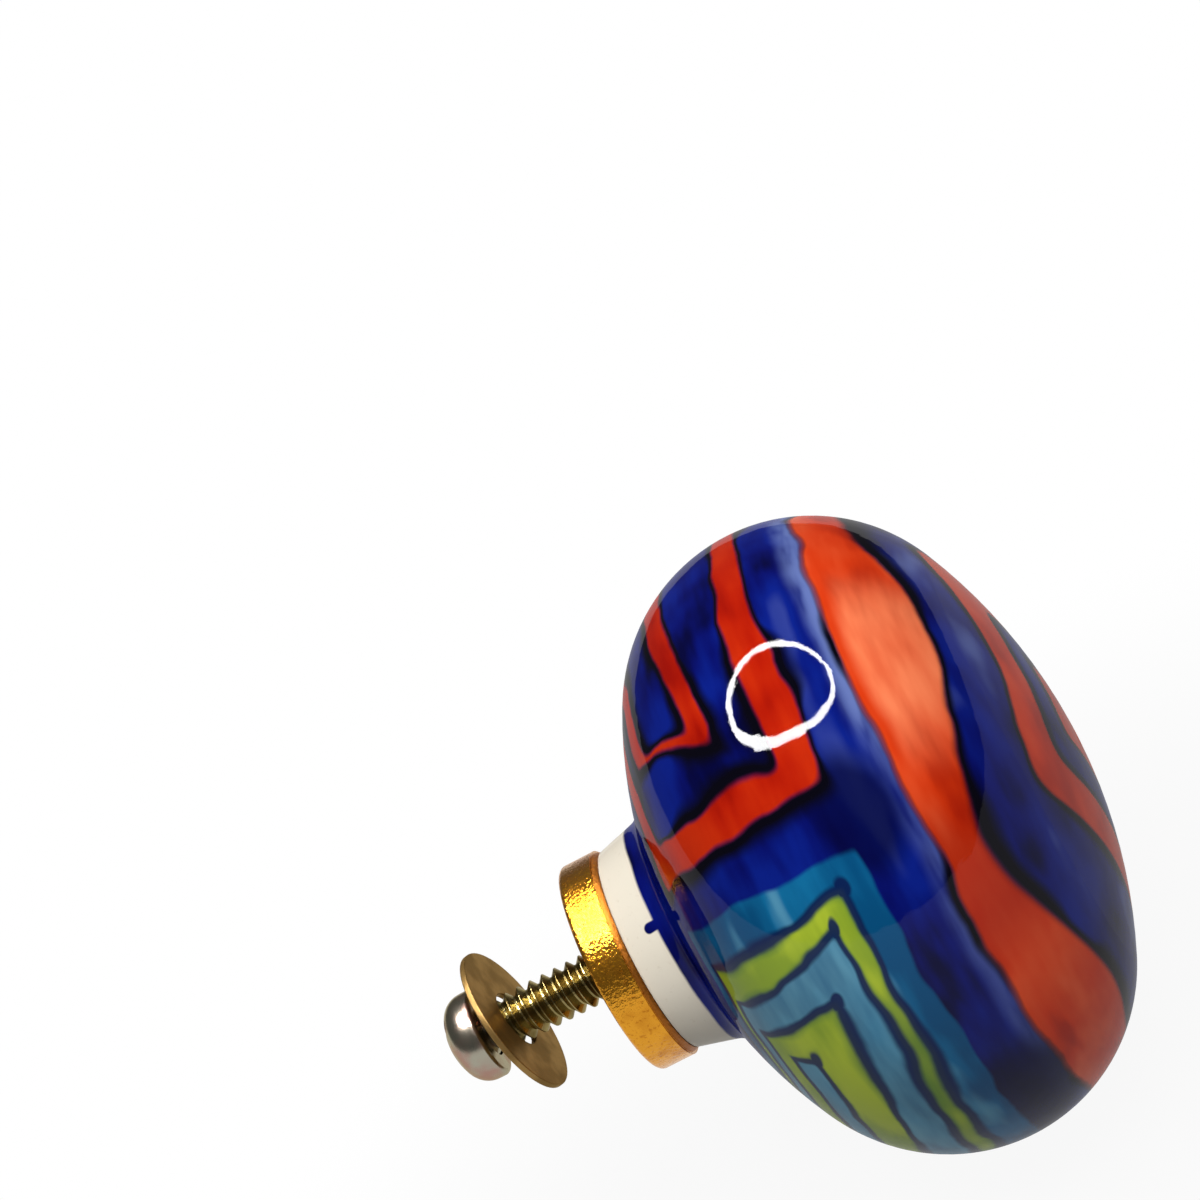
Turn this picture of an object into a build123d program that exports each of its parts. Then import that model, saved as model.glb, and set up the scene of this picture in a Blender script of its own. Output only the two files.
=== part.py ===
from build123d import *
from math import atan2, asin, cos, degrees, radians, sin, sqrt
import os

# A glazed ceramic drawer knob on a gilt collar, with its fixing screw and washer.
# Millimetres. The origin is the middle of the collar's back face, where the knob meets the drawer front.
# The knob's axis is Y: the dome looks along -Y, the screw runs out along +Y, and +Z is up.
# Profiles are drawn as radius against height, where height is the distance out from the drawer front.

# Ceramic head: a shallow spherical cap in front and one behind, joined by a round edge at the widest circle
head_diameter = 49.0
head_edge_radius = 13.7
widest_height = 22.55
dome_rise = 16.05
back_rise = 16.55

# Ceramic neck, flaring from its foot to the back of the head
neck_foot_diameter = 16.1
neck_top_diameter = 18.2
neck_fillet = 1.6
foot_rounding = 0.25

# Gilt collar: a turned ring with a rim, a fine step and a rounded lip; it stands out a little from the neck's foot
collar_overhang = 0.35
collar_diameter = neck_foot_diameter + 2 * collar_overhang
collar_height = 3.2
collar_rim_width = 2.75
collar_step = 0.2
collar_back_rounding = 0.4

# Threaded insert: a grooved brass sleeve that is cemented into the neck and centres the collar
insert_diameter = 9.0
insert_length = 17.0
insert_recess = 0.5
insert_end_chamfer = 0.4
groove_count = 3
groove_width = 1.2
groove_depth = 0.5
groove_pitch = 3.6

# Fixing screw: pan head with a combined slot and cross recess, turned part of the way in
screw_diameter = 4.0
screw_length = 25.0
screw_standout = 10.5
screw_tip_chamfer = 0.6
screw_head_diameter = 7.0
screw_head_side = 0.9
screw_head_crown = 2.3
screw_head_edge_radius = 1.9
screw_head_under_rounding = 0.4
slot_width = 0.9
slot_depth = 0.8
cross_span = 3.8
cross_floor_span = 1.4
cross_floor_width = 0.6
cross_depth = 1.9
recess_turn = 73.0

# Washer, hanging loosely on the screw and leaning towards its head
washer_diameter = 12.0
washer_hole = 4.5
washer_thickness = 0.5
washer_edge_rounding = 0.12
washer_lean = 10.8
washer_standout = 8.5

# Fits
cement_gap = 0.15
bore_end_gap = 0.5
collar_slip = 0.05
thread_slip = 0.05
washer_slip = 0.04

# The profile plane has radius along X and height along -Y.
profile_plane = Plane(origin=(0, 0, 0), x_dir=(1, 0, 0), z_dir=(0, 0, -1))


def cap_radius(radius, rise, edge):
    """Radius of the cap, centred on the axis, that runs smoothly into a rounded edge of a round body."""
    return ((radius - edge) ** 2 + rise**2 - edge**2) / (2 * (rise - edge))


def edge_turn(radius, rise, edge):
    """Angle that the rounded edge turns through, from the side of the body to the start of the cap."""
    return degrees(atan2(cap_radius(radius, rise, edge) - rise, radius - edge))


def revolved(profile):
    """A closed outline of radius against height, turned about the knob's axis."""
    with BuildPart() as turned:
        add(profile_plane * profile)
        revolve(axis=Axis.Y)
    return turned.part


def ceramic_body():
    """Head and neck in one piece, with a blind bore for the insert."""
    head_radius = head_diameter / 2
    neck_top_radius = neck_top_diameter / 2
    bore_radius = insert_diameter / 2 + cement_gap
    bore_end = insert_recess + insert_length + bore_end_gap
    back_radius = cap_radius(head_radius, back_rise, head_edge_radius)
    dome_radius = cap_radius(head_radius, dome_rise, head_edge_radius)
    back_turn = edge_turn(head_radius, back_rise, head_edge_radius)
    dome_turn = edge_turn(head_radius, dome_rise, head_edge_radius)
    back_start = degrees(asin(neck_top_radius / back_radius))
    back_sag = back_radius - sqrt(back_radius**2 - neck_top_radius**2)
    neck_top = (neck_top_radius, widest_height - back_rise + back_sag)
    foot_corner = (neck_foot_diameter / 2, collar_height)
    with BuildSketch() as profile:
        with BuildLine():
            Polyline((bore_radius, collar_height), foot_corner, neck_top)
            back = JernArc(
                start=neck_top,
                tangent=(cos(radians(back_start)), sin(radians(back_start))),
                radius=back_radius,
                arc_size=90 - back_turn - back_start,
            )
            edge = JernArc(
                start=back @ 1, tangent=back % 1, radius=head_edge_radius, arc_size=back_turn + dome_turn
            )
            dome = JernArc(start=edge @ 1, tangent=edge % 1, radius=dome_radius, arc_size=90 - dome_turn)
            Polyline(dome @ 1, (0, bore_end), (bore_radius, bore_end), (bore_radius, collar_height))
        make_face()
        fillet(profile.vertices().sort_by_distance(neck_top)[0], radius=neck_fillet)
        fillet(profile.vertices().sort_by_distance(foot_corner)[0], radius=foot_rounding)
    return revolved(profile.sketch)


def base_collar():
    """Ring with a rounded back corner, a straight rim, a fine step and a lip that meets the neck's foot."""
    rim_radius = collar_diameter / 2
    step_radius = rim_radius - collar_step
    bore_radius = insert_diameter / 2 + collar_slip
    lip_end = (neck_foot_diameter / 2, collar_height)
    with BuildSketch() as profile:
        with BuildLine():
            Polyline(
                (bore_radius, 0),
                (rim_radius, 0),
                (rim_radius, collar_rim_width),
                (step_radius, collar_rim_width),
            )
            TangentArc((step_radius, collar_rim_width), lip_end, tangent=(0, 1))
            Polyline(lip_end, (bore_radius, collar_height), (bore_radius, 0))
        make_face()
        fillet(profile.vertices().sort_by_distance((rim_radius, 0))[0], radius=collar_back_rounding)
    return revolved(profile.sketch)


def threaded_insert():
    """Sleeve with cement grooves on the part that sits inside the neck."""
    outer_radius = insert_diameter / 2
    hole_radius = screw_diameter / 2 + thread_slip
    far_end = insert_recess + insert_length
    first_groove = collar_height + groove_pitch
    with BuildSketch() as profile:
        with BuildLine():
            Polyline(
                (hole_radius, insert_recess),
                (outer_radius, insert_recess),
                (outer_radius, far_end),
                (hole_radius, far_end),
                close=True,
            )
        make_face()
        with Locations(
            *[(outer_radius - groove_depth, first_groove + i * groove_pitch) for i in range(groove_count)]
        ):
            Rectangle(groove_depth, groove_width, align=(Align.MIN, Align.CENTER), mode=Mode.SUBTRACT)
        ends = [(outer_radius, insert_recess), (outer_radius, far_end)]
        corners = [profile.vertices().sort_by_distance(end)[0] for end in ends]
        chamfer(corners, length=insert_end_chamfer)
    return revolved(profile.sketch)


def recess_blade(crown_height):
    """One tapered wing pair of the cross recess, from the crown down to the recess floor."""
    crown_plane = Plane(origin=(0, -crown_height, 0), x_dir=(1, 0, 0), z_dir=(0, -1, 0))
    with BuildPart() as blade:
        with BuildSketch(crown_plane):
            Rectangle(cross_span, slot_width)
        with BuildSketch(crown_plane.offset(cross_depth)):
            Rectangle(cross_floor_span, cross_floor_width)
        loft()
    return blade.part


def fixing_screw():
    """Pan-head screw on the knob's axis, with its head behind the drawer front."""
    shank_radius = screw_diameter / 2
    head_radius = screw_head_diameter / 2
    under_head = -screw_standout
    tip = under_head + screw_length
    side_end = under_head - screw_head_side
    crown = side_end - screw_head_crown
    crown_radius = cap_radius(head_radius, screw_head_crown, screw_head_edge_radius)
    crown_turn = edge_turn(head_radius, screw_head_crown, screw_head_edge_radius)
    with BuildSketch() as profile:
        with BuildLine():
            Polyline(
                (0, tip),
                (shank_radius - screw_tip_chamfer, tip),
                (shank_radius, tip - screw_tip_chamfer),
                (shank_radius, under_head),
                (head_radius, under_head),
                (head_radius, side_end),
            )
            edge = JernArc(
                start=(head_radius, side_end),
                tangent=(0, -1),
                radius=screw_head_edge_radius,
                arc_size=-crown_turn,
            )
            top = JernArc(
                start=edge @ 1, tangent=edge % 1, radius=crown_radius, arc_size=-(90 - crown_turn)
            )
            Line(top @ 1, (0, tip))
        make_face()
        under_corner = profile.vertices().sort_by_distance((head_radius, under_head))[0]
        fillet(under_corner, radius=screw_head_under_rounding)
    blade = recess_blade(crown)
    slot = Pos(0, -crown, 0) * Box(
        screw_head_diameter, slot_depth, slot_width, align=(Align.CENTER, Align.MAX, Align.CENTER)
    )
    recess = blade + Rot(0, 90, 0) * blade + slot
    return revolved(profile.sketch) - Rot(0, recess_turn, 0) * recess


def washer():
    """Flat ring that hangs on top of the screw, its upper edge leaning towards the screw's head."""
    lean = radians(washer_lean)
    hole_reach = washer_hole / 2 * cos(lean) - washer_thickness / 2 * sin(lean)
    drop = hole_reach - screw_diameter / 2 - washer_slip
    with BuildPart() as ring:
        with BuildSketch(Plane.XZ):
            Circle(washer_diameter / 2)
            Circle(washer_hole / 2, mode=Mode.SUBTRACT)
        extrude(amount=washer_thickness / 2, both=True)
        fillet(ring.edges().filter_by(GeomType.CIRCLE), radius=washer_edge_rounding)
    return Pos(0, washer_standout, -drop) * Rot(-washer_lean, 0, 0) * ring.part


os.makedirs("parts", exist_ok=True)
nodes = {
    "ceramic_body": ceramic_body(),
    "base_collar": base_collar(),
    "threaded_insert": threaded_insert(),
    "fixing_screw": fixing_screw(),
    "washer": washer(),
}
for name, solid in nodes.items():
    export_step(solid, f"parts/{name}.step")
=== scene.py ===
# %% [markdown]
# A hand-painted ceramic drawer knob.
# The knob is a glazed clay head on a short neck, a gilt collar, and the screw and washer that hold it to
# a drawer. All of it could be modelled here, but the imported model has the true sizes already. So this
# lesson only dresses that model: it paints the glaze, gilds the collar, cuts a real thread on the screw
# and lights the result.

# %% Load the frame
import math

import bmesh
import bpy
from mathutils import Matrix, Vector


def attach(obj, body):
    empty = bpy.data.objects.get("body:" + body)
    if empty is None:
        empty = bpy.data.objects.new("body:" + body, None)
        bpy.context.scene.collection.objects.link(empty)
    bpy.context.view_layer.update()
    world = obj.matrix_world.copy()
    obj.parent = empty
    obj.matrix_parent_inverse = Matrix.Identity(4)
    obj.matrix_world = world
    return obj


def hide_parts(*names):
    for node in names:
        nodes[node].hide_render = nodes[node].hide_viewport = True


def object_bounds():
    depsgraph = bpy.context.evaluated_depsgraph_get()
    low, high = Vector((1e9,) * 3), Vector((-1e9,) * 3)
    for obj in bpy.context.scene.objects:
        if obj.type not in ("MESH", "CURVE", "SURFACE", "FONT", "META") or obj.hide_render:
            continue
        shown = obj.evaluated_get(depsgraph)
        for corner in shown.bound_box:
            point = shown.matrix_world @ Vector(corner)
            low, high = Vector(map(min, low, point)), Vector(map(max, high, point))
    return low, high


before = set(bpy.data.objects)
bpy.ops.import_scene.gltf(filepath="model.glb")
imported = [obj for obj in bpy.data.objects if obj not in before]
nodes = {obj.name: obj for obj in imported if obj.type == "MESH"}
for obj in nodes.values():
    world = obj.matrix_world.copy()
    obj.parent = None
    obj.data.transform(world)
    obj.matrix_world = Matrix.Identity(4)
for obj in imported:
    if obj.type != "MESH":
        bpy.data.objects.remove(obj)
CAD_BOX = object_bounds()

MM = 0.001
print("nodes:", sorted(nodes), "box in mm:", [[round(v / MM, 1) for v in corner] for corner in CAD_BOX])

# %% [markdown]
# Where things are on the knob.
# The knob's axis is Y, and the dome looks along -Y. Painted shapes could be placed by plain X, Y and Z,
# but on a round head they are easier to describe as on a globe: a turn about the axis, and a latitude
# from the widest circle towards the dome. The photographer stood to one side and a little above, so turns
# are counted from that side, and they grow downwards.

# %% Places on the knob
VIEW_LIFT = math.radians(28.0)
HEAD_HEIGHT = 22.55
HEAD_RADIUS = 24.5
HEAD_DEPTH = 16.0
DOME_WAY = Vector((0.0, -1.0, 0.0))
UP_WAY = Vector((math.sin(VIEW_LIFT), 0.0, math.cos(VIEW_LIFT)))
NEAR_WAY = Vector((-math.cos(VIEW_LIFT), 0.0, math.sin(VIEW_LIFT)))
HEAD_CENTRE = DOME_WAY * HEAD_HEIGHT * MM
print("head centre in mm:", [round(v / MM, 2) for v in HEAD_CENTRE])

# %% [markdown]
# The camera.
# The photograph was taken close up, so nearer parts look a little larger. A camera could be placed by
# eye, but here its place is worked out, so that the picture can be laid over the photograph. It stands at
# the right distance, is turned until the knob's axis climbs to the right at the photographed angle, and
# then looks past the knob, so that the head falls low and to the right. Looking past it needs no lens
# shift.

# %% Camera
PICTURE_SIZE = 1200
LENS_PIXELS = 3300.0
SENSOR_MM = 36.0
CAMERA_DISTANCE = 0.2443
AXIS_TILT = math.radians(6.4)
AXIS_CLIMB = math.radians(27.2)
HEAD_PIXEL = (879.7, 831.5)


def photo_camera():
    """A camera at the photographer's place, with the head's centre at its own spot in the picture."""
    back = DOME_WAY * math.sin(AXIS_TILT) + NEAR_WAY * math.cos(AXIS_TILT)
    along = DOME_WAY * math.cos(AXIS_TILT) - NEAR_WAY * math.sin(AXIS_TILT)
    right = along * math.cos(AXIS_CLIMB) - UP_WAY * math.sin(AXIS_CLIMB)
    up = along * math.sin(AXIS_CLIMB) + UP_WAY * math.cos(AXIS_CLIMB)
    facing = Matrix((right, up, back)).transposed()
    half = PICTURE_SIZE / 2
    ray = Vector((HEAD_PIXEL[0] - half, half - HEAD_PIXEL[1], -LENS_PIXELS))
    turn = Vector((0.0, 0.0, -1.0)).rotation_difference(ray)
    data = bpy.data.cameras.new("photo_camera")
    data.sensor_width = SENSOR_MM
    data.lens = SENSOR_MM * LENS_PIXELS / PICTURE_SIZE
    data.clip_start = 0.01
    camera = bpy.data.objects.new("photo_camera", data)
    bpy.context.scene.collection.objects.link(camera)
    place = Matrix.Translation(HEAD_CENTRE + back * CAMERA_DISTANCE)
    camera.matrix_world = place @ (facing @ turn.inverted().to_matrix()).to_4x4()
    bpy.context.scene.camera = camera
    return camera


camera = photo_camera()
print("camera at mm:", [round(v / MM) for v in camera.location], "lens", round(camera.data.lens, 1))

# %% [markdown]
# Sums in a material.
# Blender adds and multiplies inside a material with Math nodes, one for each step. They could be drawn in
# the node editor, or made one by one in code, but then even a short formula is hard to read. So a small
# class wraps a node's output and lets Python's own signs make those nodes.

# %% A wire that does sums


class Wire:
    """A node's output that takes part in Python sums; each step adds a Math node to its finish."""

    def __init__(self, finish, socket):
        self.finish = finish
        self.socket = socket

    def math(self, operation, *terms):
        return self.finish.node("ShaderNodeMath", {"operation": operation}, dict(enumerate(terms)))

    def __add__(self, other):
        return self.math("ADD", self, other)

    def __radd__(self, other):
        return self.math("ADD", other, self)

    def __sub__(self, other):
        return self.math("SUBTRACT", self, other)

    def __rsub__(self, other):
        return self.math("SUBTRACT", other, self)

    def __mul__(self, other):
        return self.math("MULTIPLY", self, other)

    def __rmul__(self, other):
        return self.math("MULTIPLY", other, self)

    def __truediv__(self, other):
        return self.math("DIVIDE", self, other)

    def __rtruediv__(self, other):
        return self.math("DIVIDE", other, self)

    def __pow__(self, other):
        return self.math("POWER", self, other)

    def __rpow__(self, other):
        return self.math("POWER", other, self)

    def __gt__(self, other):
        return self.math("GREATER_THAN", self, other)

    def __lt__(self, other):
        return self.math("LESS_THAN", self, other)

    def __abs__(self):
        return self.math("ABSOLUTE", self)

    def __neg__(self):
        return self.math("MULTIPLY", self, -1.0)

    def least(self, other):
        return self.math("MINIMUM", self, other)

    def soft_least(self, other, ease):
        return self.math("SMOOTH_MIN", self, other, ease)

    def most(self, other):
        return self.math("MAXIMUM", self, other)

    def bearing(self, other):
        """The angle in degrees of a point that lies this far up and the other so far along."""
        return self.math("ARCTAN2", self, other) * math.degrees(1)


def reach(across, along):
    """The straight distance made by two steps at right angles."""
    return (across * across + along * along) ** 0.5


print("wires can be summed, compared and measured")

# %% [markdown]
# One maker of nodes.
# Noise, colour mixing and shaders are nodes too, each with its own settings and sockets. A helper for
# every kind would be a long list, so one method makes any node from its type, its settings and its
# sockets. The few that come up again and again get a short method on top of it.

# %% A finish that makes nodes


class Finish:
    """A node tree, with one method that makes any node in it."""

    def __init__(self, tree):
        self.tree = tree
        self.tree.nodes.clear()

    def node(self, kind, settings=None, sockets=None, output=0):
        made = self.tree.nodes.new(kind)
        for name, value in (settings or {}).items():
            setattr(made, name, value)
        for name, value in (sockets or {}).items():
            if isinstance(value, Wire):
                self.tree.links.new(value.socket, made.inputs[name])
            else:
                made.inputs[name].default_value = value
        return Wire(self, made.outputs[output]) if made.outputs else made

    def mix(self, share, first, second):
        """One colour fading into another."""
        return self.node("ShaderNodeMix", {"data_type": "RGBA"}, {0: share, 6: first, 7: second}, output=2)

    def fade(self, value, low, high):
        """0 at low, 1 at high, and a smooth step between them."""
        sockets = {"Value": value, "From Min": low, "From Max": high}
        return self.node("ShaderNodeMapRange", {"interpolation_type": "SMOOTHSTEP"}, sockets)

    def noise(self, place, scale, detail=2.0, roughness=0.5, output="Fac"):
        sockets = {"Vector": place, "Scale": scale, "Detail": detail, "Roughness": roughness}
        return self.node("ShaderNodeTexNoise", {}, sockets, output)

    def split(self, vector):
        """The three numbers of a vector or a colour."""
        parted = self.node("ShaderNodeSeparateXYZ", {}, {0: vector}).socket.node
        return [Wire(self, parted.outputs[axis]) for axis in range(3)]

    def place_mm(self):
        """The point being shaded, in millimetres in the knob's own frame."""
        point = self.node("ShaderNodeTexCoord", output="Object")
        return self.node("ShaderNodeVectorMath", {"operation": "SCALE"}, {0: point, "Scale": 1 / MM})

    def stretch(self, vector, factors):
        """A vector with each of its numbers multiplied by its own factor."""
        return self.node("ShaderNodeVectorMath", {"operation": "MULTIPLY"}, {0: vector, 1: factors})

    def bump(self, height, strength, distance):
        sockets = {"Height": height, "Strength": strength, "Distance": distance}
        return self.node("ShaderNodeBump", {}, sockets)

    def show(self, surface):
        self.node("ShaderNodeOutputMaterial", {}, {"Surface": surface})


def new_finish(name):
    """An empty material and the finish that fills it."""
    material = bpy.data.materials.new(name)
    material.use_nodes = True
    return material, Finish(material.node_tree)


print("finishes can make any node")

# %% [markdown]
# The palette.
# The painter used a few strong colours, each thin and glassy, so it is lighter where it lies thin and
# deeper where it gathers. One flat colour for each would look printed. So every colour has a deep and a
# light shade here, and the next step moves between them.

# %% Colours on the palette


def ink(red, green, blue):
    """A colour as a paint chart gives it, 0 to 255, turned into the light values that a shader needs."""
    parts = [value / 255 for value in (red, green, blue)]
    linear = [p / 12.92 if p <= 0.04045 else ((p + 0.055) / 1.055) ** 2.4 for p in parts]
    return (*linear, 1.0)


NAVY_DEEP = ink(2, 3, 52)
NAVY = ink(4, 12, 96)
NAVY_MID = ink(7, 28, 124)
NAVY_LIGHT = ink(104, 122, 180)
RED_DEEP = ink(138, 8, 2)
RED = ink(170, 26, 4)
ORANGE = ink(204, 54, 12)
SALMON = ink(238, 108, 62)
SALMON_PALE = ink(240, 132, 88)
TURQUOISE_DEEP = ink(3, 68, 112)
TURQUOISE = ink(16, 104, 150)
TURQUOISE_PALE = ink(112, 172, 192)
LIME_DEEP = ink(98, 132, 38)
LIME = ink(170, 188, 50)
GREEN_BLEED = ink(52, 104, 56)
OUTLINE_BLUE = ink(8, 26, 74)
OUTLINE_BLACK = ink(5, 4, 14)
EDGE_BROWN = ink(58, 22, 20)
GLAZE_WHITE = ink(220, 212, 195)
GLAZE_CREAM = ink(206, 196, 176)
print("palette: navy, red, orange, turquoise, lime, and a white ground")

# %% [markdown]
# How the paint lies.
# A brush leaves wide pools, strokes drawn out round the head as it turns on a wheel, and fine bristle
# marks. They could be painted on an image, but noise needs no seams and no unwrapping. Noise that is
# squeezed along one way gives the strokes and bristles, and plain noise gives the pools. Together they
# say how thin or thick the paint is at each point.

# %% Brush marks
POOL_SCALE = 0.13
STROKE_SCALE, STROKE_STRETCH = 0.34, (0.3, 1.0, 0.3)
BRISTLE_SCALE, BRISTLE_STRETCH = 0.9, (0.22, 1.0, 0.22)
BRUSH_ROUGHNESS = 0.45
WET_SCALE = 0.1
STROKE_WEIGHT, POOL_WEIGHT, BRISTLE_WEIGHT = 0.35, 0.45, 0.2
THIN_RANGE, THICK_RANGE = (0.44, 0.60), (0.48, 0.36)
STREAK_RANGE, WET_RANGE = (0.56, 0.72), (0.40, 0.62)


def brush_marks(glaze, place):
    """Where the paint is thin, thick, streaky or stayed wet, with the bristle marks themselves."""
    strokes = glaze.noise(glaze.stretch(place, STROKE_STRETCH), STROKE_SCALE, roughness=BRUSH_ROUGHNESS)
    bristles = glaze.noise(glaze.stretch(place, BRISTLE_STRETCH), BRISTLE_SCALE, roughness=BRUSH_ROUGHNESS)
    pools = glaze.noise(place, POOL_SCALE)
    drift = strokes * STROKE_WEIGHT + pools * POOL_WEIGHT + bristles * BRISTLE_WEIGHT
    return {
        "thin": glaze.fade(drift, *THIN_RANGE),
        "thick": glaze.fade(drift, *THICK_RANGE),
        "streak": glaze.fade(strokes, *STREAK_RANGE),
        "bristles": bristles,
        "wet": glaze.fade(glaze.noise(place, WET_SCALE, detail=1.0), *WET_RANGE),
    }


print("strokes are", round(1 / STROKE_STRETCH[0], 1), "times as long as they are wide")

# %% Pots of colour
FRONT_RANGE = (20.0, 34.0)


def paint_pots(glaze, place):
    """The brush marks, and the colours that follow them from deep to light."""
    marks = brush_marks(glaze, place)
    thin, thick, streak = marks["thin"], marks["thick"], marks["streak"]
    front = glaze.fade(-glaze.split(place)[1], *FRONT_RANGE)
    navy = glaze.mix(thick, glaze.mix(thin, NAVY, NAVY_MID), NAVY_DEEP)
    turquoise = glaze.mix(thin * 0.8 + 0.1, TURQUOISE_DEEP, TURQUOISE)
    turquoise = glaze.mix(streak * 0.45, turquoise, TURQUOISE_PALE)
    orange = glaze.mix(thin * 0.25 + streak * 0.25, ORANGE, SALMON)
    return {
        **marks,
        "navy": glaze.mix(streak * front * 0.45, navy, NAVY_LIGHT),
        "red": glaze.mix(thick * 0.8, glaze.mix(thin * 0.45, RED, ORANGE), RED_DEEP),
        "orange": glaze.mix(thick * 0.5, orange, RED_DEEP),
        "turquoise": turquoise,
        "pale_blue": glaze.mix(marks["bristles"] * 0.6 + 0.1, turquoise, TURQUOISE_PALE),
        "lime": glaze.mix(thin * 0.6 + 0.4, LIME_DEEP, LIME),
    }


print("pots: navy, red, orange, turquoise, pale blue, lime")

# %% [markdown]
# A shaky hand.
# Painted edges are never quite straight. Each could be drawn as a curve of its own, but there are dozens.
# So two noises, a slow one for the swing of the arm and a fast one for the shake of the brush, push every
# point a little before the shapes are measured, and all the edges bend at once.

# %% Globe places with a shaky hand
SWING_SCALE, SWING_REACH = 0.16, 5.5
SHAKE_SCALE, SHAKE_REACH = 0.6, 0.7


def shaky_places(glaze, place):
    """Height, radius, turn and latitude of the shaded point, moved a little by the painter's hand."""
    x, y, z = glaze.split(place)
    near = x * NEAR_WAY.x + z * NEAR_WAY.z
    down = x * -UP_WAY.x + z * -UP_WAY.z
    height = -y
    radius = reach(x, z)
    latitude = ((height - HEAD_HEIGHT) / HEAD_DEPTH).bearing(radius / HEAD_RADIUS)
    swing = glaze.split(glaze.noise(place, SWING_SCALE, detail=1.0, output="Color"))
    shake = glaze.split(glaze.noise(place, SHAKE_SCALE, detail=1.0, output="Color"))
    moves = [(a - 0.5) * SWING_REACH + (b - 0.5) * SHAKE_REACH for a, b in zip(swing, shake)]
    return {
        "height": height,
        "radius": radius,
        "near": near,
        "down": down,
        "turn": down.bearing(near) + moves[0],
        "latitude": latitude + moves[1],
        "move": moves[2],
    }


print("hand swing", SWING_REACH, "degrees, shake", SHAKE_REACH, "degrees")

# %% [markdown]
# Frames within frames.
# The side of the head carries panels of nested frames. They could be drawn as curves and filled, but a
# formula does with less. A frame is four straight sides, each a place and a slope in turn and latitude.
# The distance inside the nearest side says everything: above zero the point is within the frame, and near
# zero it is on its outline. A smooth minimum of the four distances rounds the corners, as a loaded brush
# does.

# %% Nested frames


def inside_frame(turn, latitude, ease, left, right, top, bottom):
    """How far a point lies inside a four-sided frame, in degrees; ease rounds the corners."""
    left_gap = turn - (latitude * left[1] + left[0])
    right_gap = (latitude * right[1] + right[0]) - turn
    top_gap = (turn * top[1] + top[0]) - latitude
    bottom_gap = latitude - (turn * bottom[1] + bottom[0])
    return left_gap.soft_least(right_gap, ease).soft_least(top_gap, ease).soft_least(bottom_gap, ease)


def from_corner(turn, latitude, side, top):
    """How far a point lies from the corner where a frame's side meets its top, in degrees."""
    return reach(turn - (latitude * side[1] + side[0]), (turn * top[1] + top[0]) - latitude)


print("frames are measured by their four sides")

# %% [markdown]
# Edges between paints.
# Where navy meets red, the wet navy gathered into a black margin of uneven width. Thin lines were drawn
# with a small brush. Both could be separate shapes, but each follows an edge that is already measured, so
# both are made from the distance to it.

# %% Margins and thin lines


def margin(glaze, depth, wet, narrow, wide):
    """A dark margin along one side of an edge, from narrow to wide where the paint was wet."""
    width = wet * (wide - narrow) + narrow
    return glaze.fade(depth, -0.7 * narrow, 0.3 * narrow) * (1.0 - glaze.fade(depth / width, 0.25, 1.0))


def thin_line(glaze, inside, half_width):
    """A soft line along an edge."""
    return 1.0 - glaze.fade(abs(inside), half_width * 0.4, half_width * 1.5)


print("edges can have margins and lines")

# %% [markdown]
# The red panels.
# A red panel and a lime panel sit side by side with a navy bar between them, and a second red panel fills
# the far side. Each frame is filled over the one outside it. The second red panel could have frames of
# its own, but it is the same design again, so the count of turns is moved there and the same frames serve
# twice.

# %% Red panels
PANEL_SPAN = 240.0
PANEL_SEAM, PANEL_SEAM_BEHIND = 115.0, -125.0
RED_FILLS = ("red", "navy", "red", "navy")
RED_FRAMES = [
    dict(left=(-120, 0), right=(-10.8, 0), top=(4.2, 0), bottom=(-56, 0)),
    dict(left=(-113, 0), right=(-15.6, 0.10), top=(-6.8, -0.048), bottom=(-50, 0)),
    dict(left=(-105, 0), right=(-18.5, 0.42), top=(-15.2, 0.08), bottom=(-45, 0)),
    dict(left=(-98, 0), right=(-24.0, 0.32), top=(-20.8, 0.09), bottom=(-40, 0)),
]
RED_EASE = 4.0
RED_EDGE = (-0.9, 0.9)
RED_MARGIN = (1.4, 5.0)


def panel_turn(hand):
    """The turn within the panels, which starts over where the second red panel begins."""
    beyond = hand["turn"] > PANEL_SEAM
    behind = hand["turn"] < PANEL_SEAM_BEHIND
    return hand["turn"] - beyond * PANEL_SPAN + behind * (360.0 - PANEL_SPAN)


def red_panels(glaze, turn, latitude, pots, colour):
    """Red and navy frames with black margins, painted over the colour that is there already."""
    for fill, sides in zip(RED_FILLS, RED_FRAMES):
        inside = inside_frame(turn, latitude, RED_EASE, **sides)
        navy_side = inside if fill == "navy" else -inside
        colour = glaze.mix(glaze.fade(inside, *RED_EDGE), colour, pots[fill])
        colour = glaze.mix(margin(glaze, navy_side, pots["wet"], *RED_MARGIN), colour, OUTLINE_BLACK)
    return colour


print("red frames:", len(RED_FRAMES), "and again from a turn of", PANEL_SEAM)

# %% [markdown]
# The lime panel.
# Its frames are turquoise and lime, with the inner turquoise washed out to a pale blue. Green bled into
# the lime along the edges, and a thin blue line was drawn over each, with a blob where the brush stopped
# at the corner. The blob could be a dot of its own, but its place is where two sides meet, so it is
# measured from there and moves with the frame.

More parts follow.
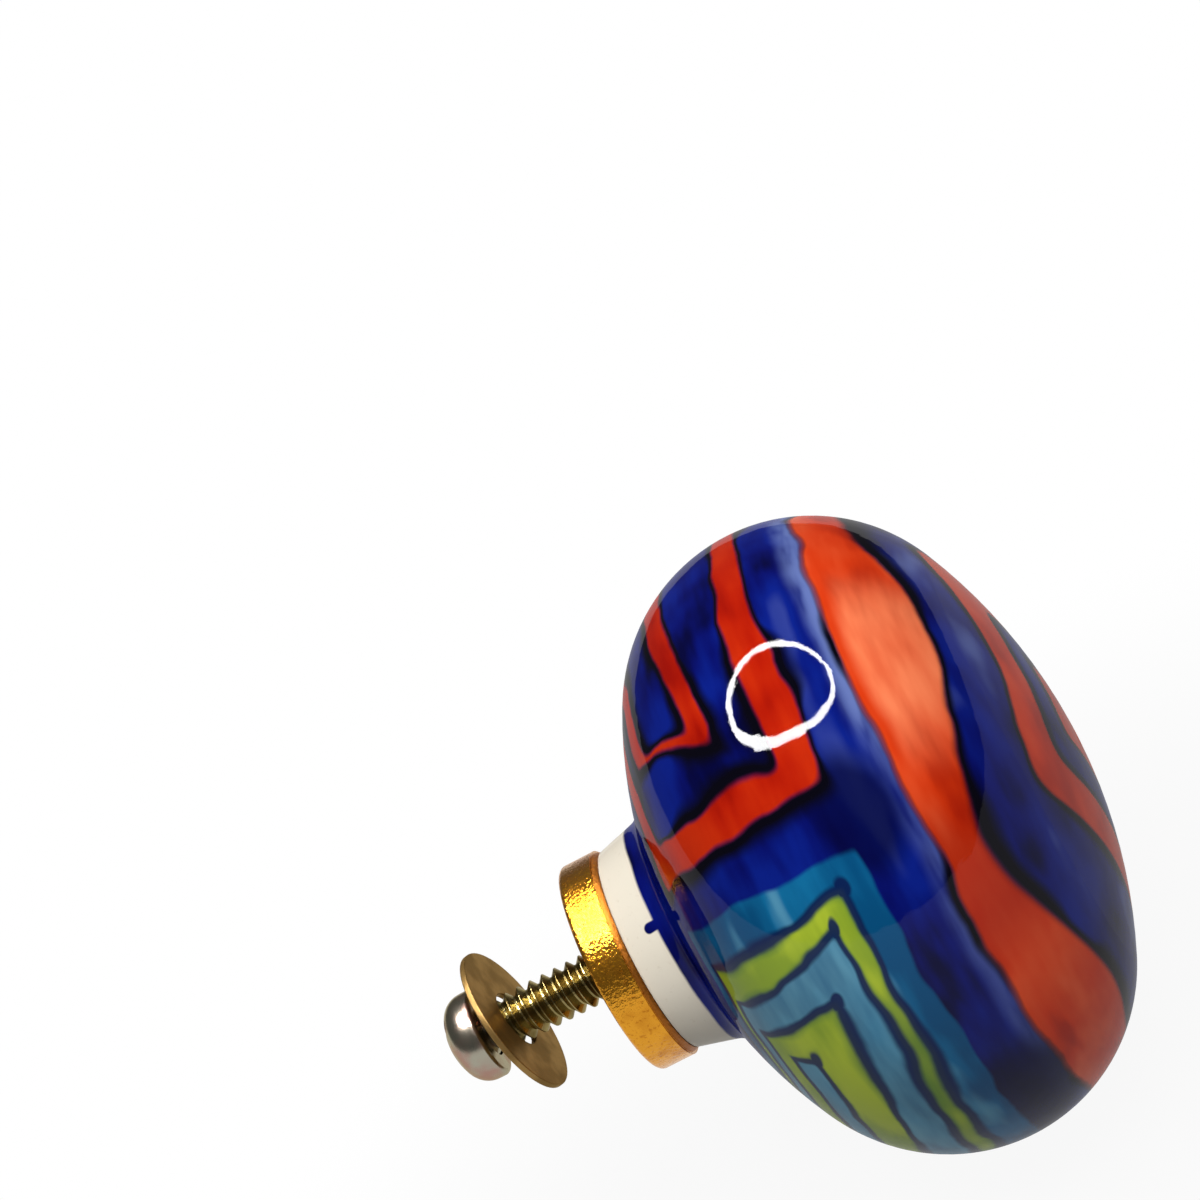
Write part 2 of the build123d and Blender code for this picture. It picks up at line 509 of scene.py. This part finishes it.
# %% Lime panel
LIME_FILLS = ("turquoise", "lime", "pale_blue", "lime", "pale_blue")
LIME_FRAMES = [
    dict(left=(0.6, 0), right=(110, 0), top=(3.0, 0), bottom=(-57, 0)),
    dict(left=(5.9, -0.10), right=(104, 0), top=(-4.0, -0.04), bottom=(-53, 0)),
    dict(left=(8.4, -0.25), right=(97, 0), top=(-9.4, -0.06), bottom=(-50, 0)),
    dict(left=(15.2, -0.32), right=(90, 0), top=(-17.0, -0.12), bottom=(-46, 0)),
    dict(left=(31.0, -0.12), right=(80, 0), top=(-31.2, -0.05), bottom=(-40, 0)),
]
LIME_EASE = 1.5
LIME_EDGE = (-0.6, 0.6)
LIME_BLEED = (1.5, 6.0)
LINE_HALF_WIDTH = 1.1
CORNER_BLOB = 2.4


def lime_panel(glaze, turn, latitude, pots, colour):
    """Turquoise and lime frames with thin blue lines, painted over the colour that is there already."""
    brush = pots["wet"] * 0.9 + 0.7
    for number, (fill, sides) in enumerate(zip(LIME_FILLS, LIME_FRAMES)):
        inside = inside_frame(turn, latitude, LIME_EASE, **sides)
        colour = glaze.mix(glaze.fade(inside, *LIME_EDGE), colour, pots[fill])
        if number:
            lime_side = inside if fill == "lime" else -inside
            bleed = margin(glaze, lime_side, pots["wet"], *LIME_BLEED)
            colour = glaze.mix(bleed * 0.5, colour, GREEN_BLEED)
            corner = from_corner(turn, latitude, sides["left"], sides["top"])
            blob = glaze.fade(corner / brush, CORNER_BLOB, CORNER_BLOB * 0.6)
            line = thin_line(glaze, inside / brush, LINE_HALF_WIDTH)
            colour = glaze.mix(line.most(blob) * 0.95, colour, OUTLINE_BLUE)
    return colour


print("lime frames:", len(LIME_FRAMES))

# %% [markdown]
# The squares on the dome.
# Seen from the front, the dome carries squares within squares, a little askew, with rounder corners
# further out. They could use the frames above, but a turn has no meaning at the middle of the dome. A
# square with soft corners is a circle measured with a higher power than two, so each square is a half
# size, a middle and a power.

# %% Dome squares
SQUARE_SET = math.radians(-35.0)
SQUARE_FILLS = ("navy", "orange", "navy", "orange")
DOME_SQUARES = [
    dict(half=(18.9, 19.2), middle=(0.0, -0.3), power=3.2),
    dict(half=(12.2, 11.9), middle=(0.6, -1.2), power=9.0),
    dict(half=(8.4, 7.4), middle=(0.2, -0.4), power=7.0),
    dict(half=(4.2, 3.6), middle=(0.4, -0.6), power=7.0),
]
SQUARE_SHAKE = 0.22
SQUARE_EDGE = (-0.22, 0.22)
SQUARE_MARGIN = (0.6, 1.6)
DOME_RANGE = (12.0, 14.0)


def inside_square(across, along, half, middle, power):
    """How far a point lies inside a soft square, in millimetres."""
    sides = zip((across, along), middle, half)
    parts = [(abs(way - centre) / size) ** power for way, centre, size in sides]
    return (1.0 - (parts[0] + parts[1]) ** (1 / power)) * half[0]


def dome_squares(glaze, hand, pots, colour):
    """The nested squares, painted over the colour that is there already."""
    near = hand["near"] + hand["move"] * SQUARE_SHAKE
    down = hand["down"] - hand["move"] * SQUARE_SHAKE
    across = near * math.cos(SQUARE_SET) + down * math.sin(SQUARE_SET)
    along = down * math.cos(SQUARE_SET) - near * math.sin(SQUARE_SET)
    front = glaze.fade(hand["latitude"], *DOME_RANGE)
    for fill, square in zip(SQUARE_FILLS, DOME_SQUARES):
        inside = inside_square(across, along, **square)
        navy_side = inside if fill == "navy" else -inside
        colour = glaze.mix(glaze.fade(inside, *SQUARE_EDGE) * front, colour, pots[fill])
        black = margin(glaze, navy_side, pots["wet"], *SQUARE_MARGIN) * front
        colour = glaze.mix(black, colour, OUTLINE_BLACK)
    return colour


print("squares on the dome:", len(DOME_SQUARES))

# %% [markdown]
# The navy ground and the shoulder band.
# Under everything lies navy, with a broad orange band round the shoulder. On the real knob the navy thins
# to a light wash beside the band, and gathers in two dark pools above the panels. The band is palest
# where the brush ran dry and reddest where it was loaded again. Noise alone would put such places
# anywhere, so the main ones have a place of their own, and the brush marks break up their edges.

# %% Ground and band
BAND_EDGE = 19.3
BAND_SOFT = (-0.9, 0.9)
BAND_MARGIN = (0.8, 3.0)
BAND_LINE = 0.8
UPPER_RANGE = (-8.0, -22.0)
WASH_RANGE = (-6.5, -1.5)
DRY_RANGE = (0.15, 0.55)
PALE_TURN, PALE_RANGE, PALE_INSET = -28.0, (26.0, 8.0), (1.5, 6.0)
DEEP_TURN, DEEP_RANGE = 14.0, (22.0, 6.0)
NAVY_POOLS = [dict(turn=-4.0, latitude=7.0, size=13.0), dict(turn=62.0, latitude=7.0, size=24.0)]


def navy_ground(glaze, hand, pots, shoulder):
    """Navy all over, with a light wash beside the band and two dark pools."""
    upper = glaze.fade(hand["turn"], *UPPER_RANGE)
    dry = glaze.fade(pots["bristles"] - pots["wet"] * 0.1, *DRY_RANGE)
    wash = glaze.fade(shoulder, *WASH_RANGE) * dry * (upper * 0.5 + 0.3)
    colour = glaze.mix(wash, pots["navy"], NAVY_LIGHT)
    for pool in NAVY_POOLS:
        away = reach(hand["turn"] - pool["turn"], hand["latitude"] - pool["latitude"])
        gathered = glaze.fade(away, pool["size"], pool["size"] * 0.5)
        colour = glaze.mix(gathered * 0.85, colour, NAVY_DEEP)
    return colour


def shoulder_band(glaze, hand, pots, shoulder, colour):
    """The orange band with a thin brown edge and a black margin, painted over the ground."""
    pale = glaze.fade(abs(hand["turn"] - PALE_TURN), *PALE_RANGE) * glaze.fade(shoulder, *PALE_INSET)
    band = glaze.mix(pale * (pots["bristles"] * 0.9 + 0.2), pots["orange"], SALMON_PALE)
    deep = glaze.fade(abs(hand["turn"] - DEEP_TURN), *DEEP_RANGE)
    band = glaze.mix(deep * 0.6, band, RED_DEEP)
    colour = glaze.mix(glaze.fade(shoulder, *BAND_SOFT), colour, band)
    colour = glaze.mix(thin_line(glaze, shoulder, BAND_LINE) * 0.6, colour, EDGE_BROWN)
    black = margin(glaze, -shoulder, pots["wet"], *BAND_MARGIN) * pots["wet"]
    return glaze.mix(black, colour, OUTLINE_BLACK)


print("the band starts at a latitude of", BAND_EDGE)

# %% [markdown]
# The bare neck.
# The painter stopped short of the foot, so the neck shows the white ground with a few specks, and one
# drip of navy ran down it. The edge could be a plain height, but it runs a little askew, so it sways with
# the turn. The drip is a rounded end of navy below that edge.

# %% Bare neck
NECK_EDGE = 6.0
NECK_EDGE_NEAR = 0.1
NECK_EDGE_DOWN = 0.2
NECK_SHAKE = 0.10
NECK_SOFT = (-0.10, 0.16)
DRIP_TURN = -8.5
DRIP_HEIGHT = 5.5
DRIP_SIZE = 0.42
FOOT_RANGE = (-58.0, -61.0)
SPECK_SCALE, SPECK_RANGE, SPECK_SHARE = 2.4, (0.62, 0.80), 0.6


def bare_neck(glaze, place, hand, pots, colour):
    """Navy next to the neck, then the white ground with its specks and the drip."""
    foot = glaze.fade(hand["latitude"], *FOOT_RANGE)
    colour = glaze.mix(foot, colour, pots["navy"])
    sway = (hand["near"] * NECK_EDGE_NEAR + hand["down"] * NECK_EDGE_DOWN) / hand["radius"]
    edge = sway + hand["move"] * NECK_SHAKE + NECK_EDGE
    aside = (hand["turn"] - DRIP_TURN) * hand["radius"] * math.radians(1)
    below = (hand["height"] - DRIP_HEIGHT).least(0.0)
    drip = glaze.fade(reach(aside, below), DRIP_SIZE * 1.1, DRIP_SIZE * 0.8)
    specks = glaze.fade(glaze.noise(place, SPECK_SCALE), *SPECK_RANGE) * SPECK_SHARE
    white = glaze.mix(specks, GLAZE_WHITE, GLAZE_CREAM)
    bare = glaze.fade(edge - hand["height"], *NECK_SOFT) * (1.0 - drip)
    return glaze.mix(bare, colour, white)


print("the neck is bare up to", NECK_EDGE, "mm")

# %% [markdown]
# The glaze.
# Over the paint lies clear glaze. It is smooth but not flat, so a slow noise bends the light on it, and a
# fine one roughens the rim of a reflection. One glossy shader would do, but at a slant it mirrors the
# white ground so strongly that the paint fades at the outline, which the photograph doesn't show. So it
# is mixed with a plain shader of the same paint. The glassy one comes first, because an export to another
# format keeps that.

# %% Painted glaze
RIPPLE_SCALE, RIPPLE_ROUGHNESS = 0.35, 0.4
GRAIN_SCALE, GRAIN_ROUGHNESS, GRAIN_SHARE = 5.0, 0.6, 0.03
RIPPLE_STRENGTH, RIPPLE_HEIGHT = 0.12, 0.3
CLOUD_SCALE, CLOUD_ROUGHNESS, LEAST_ROUGHNESS = 0.8, 0.03, 0.01
GLAZE_IOR = 1.5
PLAIN_SHARE = 0.76


def clear_glaze(glaze, place, colour):
    """Glossy and plain paint, mixed, with a slightly uneven surface."""
    grain = glaze.noise(place, GRAIN_SCALE, roughness=GRAIN_ROUGHNESS)
    ripple = glaze.noise(place, RIPPLE_SCALE, roughness=RIPPLE_ROUGHNESS) + grain * GRAIN_SHARE
    surface = {
        "Base Color": colour,
        "Roughness": glaze.noise(place, CLOUD_SCALE) * CLOUD_ROUGHNESS + LEAST_ROUGHNESS,
        "Normal": glaze.bump(ripple, RIPPLE_STRENGTH, RIPPLE_HEIGHT * MM),
    }
    glassy = glaze.node("ShaderNodeBsdfPrincipled", {}, {**surface, "IOR": GLAZE_IOR})
    plain = glaze.node("ShaderNodeBsdfPrincipled", {}, {**surface, "Specular IOR Level": 0.0})
    glaze.show(glaze.node("ShaderNodeMixShader", {}, {0: PLAIN_SHARE, 1: glassy, 2: plain}))


def painted_glaze():
    """The whole painted and glazed surface of the clay body, painted in layers from the ground up."""
    material, glaze = new_finish("painted_glaze")
    place = glaze.place_mm()
    hand = shaky_places(glaze, place)
    pots = paint_pots(glaze, place)
    shoulder = hand["latitude"] - BAND_EDGE
    turn = panel_turn(hand)
    colour = navy_ground(glaze, hand, pots, shoulder)
    colour = shoulder_band(glaze, hand, pots, shoulder, colour)
    colour = dome_squares(glaze, hand, pots, colour)
    colour = red_panels(glaze, turn, hand["latitude"], pots, colour)
    colour = lime_panel(glaze, turn, hand["latitude"], pots, colour)
    colour = bare_neck(glaze, place, hand, pots, colour)
    clear_glaze(glaze, place, colour)
    print("painted glaze has", len(glaze.tree.nodes), "nodes")
    return material


def dress(piece, material):
    """Gives a whole piece one material."""
    piece.data.materials.clear()
    piece.data.materials.append(material)


dress(nodes["ceramic_body"], painted_glaze())

# %% [markdown]
# The gilt collar.
# The collar is a cast ring under a thin gold skin. Its rim is not polished: it is pitted and grainy,
# which breaks the light into small sparks. Pits this fine could be sculpted, but bump costs nothing. The
# gold turns browner in the pits, where the skin is dull. The lip under the neck faces the dark head, and
# its shade is painted in as a darker brown.

# %% Gilt collar
GOLD = ink(216, 150, 44)
GOLD_BROWN = ink(166, 94, 20)
LIP_SHADE_BROWN = ink(150, 90, 32)
LIP_START = 2.75
PIT_SCALE, PIT_ROUGHNESS = 3.6, 0.6
PIT_STRENGTH, PIT_DEPTH = 0.6, 0.11
PIT_RANGE, PIT_SHARE = (0.46, 0.30), 0.5
PATCH_SCALE, PATCH_RANGE, PATCH_SHARE = 0.4, (0.45, 0.70), 0.5
GILT_ROUGHNESS, DULL_ROUGHNESS, LIP_ROUGHNESS = 0.2, 0.12, 0.25


def gilt_metal():
    """Gold over a cast ring, with fine pits, and painted shade on the lip as a darker brown."""
    material, gilt = new_finish("gilt_metal")
    place = gilt.place_mm()
    pits = gilt.noise(place, PIT_SCALE, roughness=PIT_ROUGHNESS)
    patches = gilt.noise(place, PATCH_SCALE)
    dull = gilt.fade(pits, *PIT_RANGE) * PIT_SHARE + gilt.fade(patches, *PATCH_RANGE) * PATCH_SHARE
    # painted shade: the lip is mixed towards a darker brown, standing in for the shade of the head above it
    lip = gilt.fade(-gilt.split(place)[1], LIP_START - 0.02, LIP_START + 0.06)
    surface = {
        "Base Color": gilt.mix(lip, gilt.mix(dull, GOLD, GOLD_BROWN), LIP_SHADE_BROWN),
        "Metallic": 1.0,
        "Roughness": dull * DULL_ROUGHNESS + lip * LIP_ROUGHNESS + GILT_ROUGHNESS,
        "Normal": gilt.bump(pits, PIT_STRENGTH, PIT_DEPTH * MM),
    }
    gilt.show(gilt.node("ShaderNodeBsdfPrincipled", {}, surface))
    return material


dress(nodes["base_collar"], gilt_metal())
print("collar dressed; its lip starts at", LIP_START, "mm")

# %% [markdown]
# Plated steel.
# The screw and the washer are zinc plated. The screw's head is bright, with a faint rainbow, its thread
# is yellower, and the washer is dull and brown. Each could have a material of its own, but they differ
# only in tones, roughness and grain, so one function makes them all. A second pair of tones can take over
# beyond a given place along the axis. At a slant bare metal mirrors like silver; a rim tint keeps the
# plating's colour.

# %% Plated steel
ZINC = ink(158, 154, 138)
ZINC_TINT = ink(164, 130, 118)
ZINC_YELLOW = ink(148, 134, 90)
ZINC_OLIVE = ink(98, 84, 48)
ZINC_RIM = ink(226, 218, 196)
WASHER_TAN = ink(142, 112, 66)
WASHER_BROWN = ink(120, 94, 54)
WASHER_RIM = ink(232, 218, 194)
BRASS = ink(184, 148, 82)
BRASS_DULL = ink(140, 106, 54)
BRASS_RIM = ink(236, 214, 160)
PLATE_DRIFT_SCALE, PLATE_DRIFT_RANGE, DRIFT_ROUGHNESS = 0.45, (0.35, 0.65), 0.1
PLATE_GRAIN_SCALE, PLATE_GRAIN_ROUGHNESS, PLATE_GRAIN_DEPTH = 6.0, 0.6, 0.03


def plated(name, tones, roughness, grain, rim, beyond=None, beyond_tones=None):
    """Plated metal that drifts between two tones; other tones take over beyond a place along Y."""
    material, plate = new_finish(name)
    place = plate.place_mm()
    drift = plate.fade(plate.noise(place, PLATE_DRIFT_SCALE), *PLATE_DRIFT_RANGE)
    grains = plate.noise(place, PLATE_GRAIN_SCALE, roughness=PLATE_GRAIN_ROUGHNESS)
    colour = plate.mix(drift, *tones)
    if beyond is not None:
        start = plate.fade(plate.split(place)[1], beyond - 0.1, beyond + 0.1)
        colour = plate.mix(start, colour, plate.mix(drift, *beyond_tones))
    surface = {
        "Base Color": colour,
        "Metallic": 1.0,
        "Roughness": drift * DRIFT_ROUGHNESS + (roughness - DRIFT_ROUGHNESS / 2),
        "Specular Tint": rim,
        "Normal": plate.bump(grains, grain, PLATE_GRAIN_DEPTH * MM),
    }
    plate.show(plate.node("ShaderNodeBsdfPrincipled", {}, surface))
    return material


dress(nodes["washer"], plated("washer_zinc", (WASHER_TAN, WASHER_BROWN), 0.46, 0.4, WASHER_RIM))
dress(nodes["threaded_insert"], plated("insert_brass", (BRASS, BRASS_DULL), 0.35, 0.3, BRASS_RIM))
print("washer and insert dressed")

# %% [markdown]
# A real thread.
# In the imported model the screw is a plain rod, because a simulation needs no thread. In a picture the
# thread is what makes it a screw. A Screw modifier could make it, but its two ends are hard to finish. So
# it is built here: a small V-shaped profile, one pitch long, is carried round and along the axis, and
# each turn joins the one before it. The head is right already, so it is copied.

# %% Thread points
THREAD_PITCH = 1.05
THREAD_CREST = 2.0
THREAD_ROOT = 1.5
THREAD_PROFILE = [(0.0, THREAD_ROOT), (0.08, THREAD_ROOT), (0.47, THREAD_CREST), (0.55, THREAD_CREST)]
THREAD_PROFILE += [(0.94, THREAD_ROOT), (1.0, THREAD_ROOT)]
THREAD_STEPS = 40
UNDER_HEAD = 10.5
SCREW_TIP = -14.5
TIP_CHAMFER = 0.6
HEAD_OVERLAP = 0.2


def thread_point(turns, share, radius):
    """A point of the thread: so many turns along, a share of a pitch further, kept between tip and head."""
    along = SCREW_TIP + (turns + share - 1) * THREAD_PITCH
    along = min(max(along, SCREW_TIP), UNDER_HEAD + HEAD_OVERLAP)
    out = min(radius, THREAD_CREST - TIP_CHAMFER + along - SCREW_TIP)
    angle = 2 * math.pi * turns
    return Vector((out * math.sin(angle), along, out * math.cos(angle))) * MM


print("thread:", round((UNDER_HEAD - SCREW_TIP) / THREAD_PITCH, 1), "turns")

# %% Threaded screw
SAME_POINT = 0.002
NEAR_FACE = 0.01


def threaded_screw(cad_screw):
    """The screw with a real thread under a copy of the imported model's head."""
    shape = bmesh.new()
    shape.from_mesh(cad_screw.data)
    shape.transform(cad_screw.matrix_world)
    under = (UNDER_HEAD - NEAR_FACE) * MM
    rod = [face for face in shape.faces if face.calc_center_median().y < under]
    bmesh.ops.delete(shape, geom=rod, context="FACES")
    count = round((UNDER_HEAD - SCREW_TIP) / THREAD_PITCH + 1) * THREAD_STEPS
    rows = []
    for step in range(count + 1):
        points = [thread_point(step / THREAD_STEPS, share, radius) for share, radius in THREAD_PROFILE]
        rows.append([shape.verts.new(point) for point in points])
    for row, following in zip(rows, rows[1:]):
        for place in range(len(THREAD_PROFILE) - 1):
            corners = (row[place], following[place], following[place + 1], row[place + 1])
            shape.faces.new(corners)
    thread = [vert for row in rows for vert in row]
    bmesh.ops.remove_doubles(shape, verts=thread, dist=SAME_POINT * MM)
    tip = (SCREW_TIP + NEAR_FACE) * MM
    end = [edge for edge in shape.edges if edge.is_boundary and edge.verts[0].co.y < tip]
    bmesh.ops.holes_fill(shape, edges=end, sides=0)
    mesh = bpy.data.meshes.new("threaded_screw")
    shape.to_mesh(mesh)
    shape.free()
    screw = bpy.data.objects.new("threaded_screw", mesh)
    bpy.context.scene.collection.objects.link(screw)
    return screw


screw = threaded_screw(nodes["fixing_screw"])
thread_tones = (ZINC_YELLOW, ZINC_OLIVE)
dress(screw, plated("screw_zinc", thread_tones, 0.26, 0.1, ZINC_RIM, UNDER_HEAD - 0.3, (ZINC, ZINC_TINT)))
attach(screw, "root")
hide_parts("fixing_screw")
print("screw has", len(screw.data.polygons), "faces")

# %% [markdown]
# The white ground.
# The photograph has a pure white ground. More light would turn a floor white, but the knob with it. So
# rays from the camera, and from glossy and clear surfaces, see the floor glow white, all the more so
# further out. To all other light it is matt paper of a middle tone, and close to the knob it keeps a soft
# shadow.

# %% White floor
FLOOR_SIZE = 4.0
FLOOR_TONE = 0.32
FLOOR_GLOW = 0.93
SHADOW_NEAR = 0.03
SHADOW_FAR = 0.08


def seen_rays(finish):
    """1 for rays from the camera, and from glossy and clear surfaces, which should see a white ground."""
    path = finish.node("ShaderNodeLightPath").socket.node
    names = ("Is Camera Ray", "Is Glossy Ray", "Is Transmission Ray")
    rays = [Wire(finish, path.outputs[name]) for name in names]
    return rays[0].most(rays[1]).most(rays[2])


def white_floor():
    """A wide matt floor just under the head."""
    low = CAD_BOX[0].z
    half = FLOOR_SIZE / 2
    mesh = bpy.data.meshes.new("floor")
    corners = [(-half, -half, low), (half, -half, low), (half, half, low), (-half, half, low)]
    mesh.from_pydata(corners, [], [(0, 1, 2, 3)])
    floor = bpy.data.objects.new("floor", mesh)
    bpy.context.scene.collection.objects.link(floor)
    material, paper = new_finish("white_paper")
    x, y, z = paper.split(paper.node("ShaderNodeTexCoord", output="Object"))
    away = reach(x, y - HEAD_CENTRE.y)
    glow_share = paper.fade(away, SHADOW_NEAR, SHADOW_FAR) * (1.0 - FLOOR_GLOW) + FLOOR_GLOW
    matt = paper.node("ShaderNodeBsdfDiffuse", {}, {"Color": (FLOOR_TONE, FLOOR_TONE, FLOOR_TONE, 1.0)})
    glow = paper.node("ShaderNodeEmission", {}, {"Color": (1.0, 1.0, 1.0, 1.0), "Strength": 1.0})
    paper.show(paper.node("ShaderNodeMixShader", {}, {0: seen_rays(paper) * glow_share, 1: matt, 2: glow}))
    dress(floor, material)
    return floor


white_floor()
print("floor at mm", round(CAD_BOX[0].z / MM, 2))

# %% [markdown]
# The ring lamp.
# One ring lamp overhead shows as a bright ring on the glaze. It could be painted on, but then it would
# not move with the view. So it is a real glowing ring, seen only in reflections: it lights nothing. The
# round head squeezes it in the mirror, so it is an oval here, and its rims are set a little apart to make
# it uneven.

# %% Ring lamp
RING_WAY = Vector((-0.085, 0.038, 0.996)).normalized()
RING_DISTANCE = 0.26
RING_LONG = 0.133
RING_SHORT = 0.079
RING_WIDTH = 0.015
RING_UNEVEN = 0.004
RING_STRENGTH = 100.0
RING_STEPS = 96


def ring_rim(offset):
    """The points of one rim of the ring, so far out from its middle line."""
    across = RING_WAY.cross(DOME_WAY).normalized()
    along = across.cross(RING_WAY)
    shift = (along + across) * math.copysign(RING_UNEVEN / 2, -offset)
    middle = HEAD_CENTRE + RING_WAY * RING_DISTANCE + shift
    angles = [2 * math.pi * step / RING_STEPS for step in range(RING_STEPS)]
    long, short = along * (RING_LONG + offset), across * (RING_SHORT + offset)
    return [middle + long * math.cos(angle) + short * math.sin(angle) for angle in angles]


def ring_lamp():
    """A flat glowing oval ring that faces the knob and is seen only in reflections."""
    inner, outer = ring_rim(-RING_WIDTH / 2), ring_rim(RING_WIDTH / 2)
    faces = []
    for step in range(RING_STEPS):
        following = (step + 1) % RING_STEPS
        faces.append((step, following, RING_STEPS + following, RING_STEPS + step))
    mesh = bpy.data.meshes.new("ring_lamp")
    mesh.from_pydata(inner + outer, [], faces)
    lamp = bpy.data.objects.new("ring_lamp", mesh)
    bpy.context.scene.collection.objects.link(lamp)
    material, light = new_finish("ring_light")
    light.show(light.node("ShaderNodeEmission", {}, {"Strength": RING_STRENGTH}))
    dress(lamp, material)
    lamp.visible_camera = False
    lamp.visible_diffuse = False
    return lamp


ring_lamp()
print("ring lamp", round(RING_LONG * 2 / MM), "mm by", round(RING_SHORT * 2 / MM), "mm")

# %% [markdown]
# The light.
# A room's even light and a wide lamp above the camera's side light the knob. A picture of a studio could
# do both, but two plain lights are easier to balance. The wide lamp is hidden from reflections, so that
# the ring is the only lamp that the glaze shows.

# %% Soft lamp and sky
SOFT_LAMP_PLACE = Vector((-0.25, -0.05, 0.55))
SOFT_LAMP_SIZE = 0.5
SOFT_LAMP_POWER = 5.5
SKY_STRENGTH = 0.14


def soft_lamp():
    """A wide soft lamp above the camera's side, not seen in reflections."""
    data = bpy.data.lights.new("soft_lamp", "AREA")
    data.shape = "DISK"
    data.size = SOFT_LAMP_SIZE
    data.energy = SOFT_LAMP_POWER
    lamp = bpy.data.objects.new("soft_lamp", data)
    bpy.context.scene.collection.objects.link(lamp)
    facing = (SOFT_LAMP_PLACE - HEAD_CENTRE).to_track_quat("Z", "Y").to_matrix().to_4x4()
    lamp.matrix_world = Matrix.Translation(SOFT_LAMP_PLACE) @ facing
    lamp.visible_glossy = False
    return lamp


def sky():
    """Even soft light from all round."""
    world = bpy.data.worlds.new("studio")
    world.use_nodes = True
    bpy.context.scene.world = world
    air = Finish(world.node_tree)
    light = air.node("ShaderNodeBackground", {}, {"Color": (1.0, 1.0, 1.0, 1.0), "Strength": SKY_STRENGTH})
    air.node("ShaderNodeOutputWorld", {}, {"Surface": light})
    return world


soft_lamp()
sky()
bpy.context.scene.view_settings.view_transform = "Standard"
print("soft lamp", SOFT_LAMP_POWER, "watts, sky", SKY_STRENGTH)
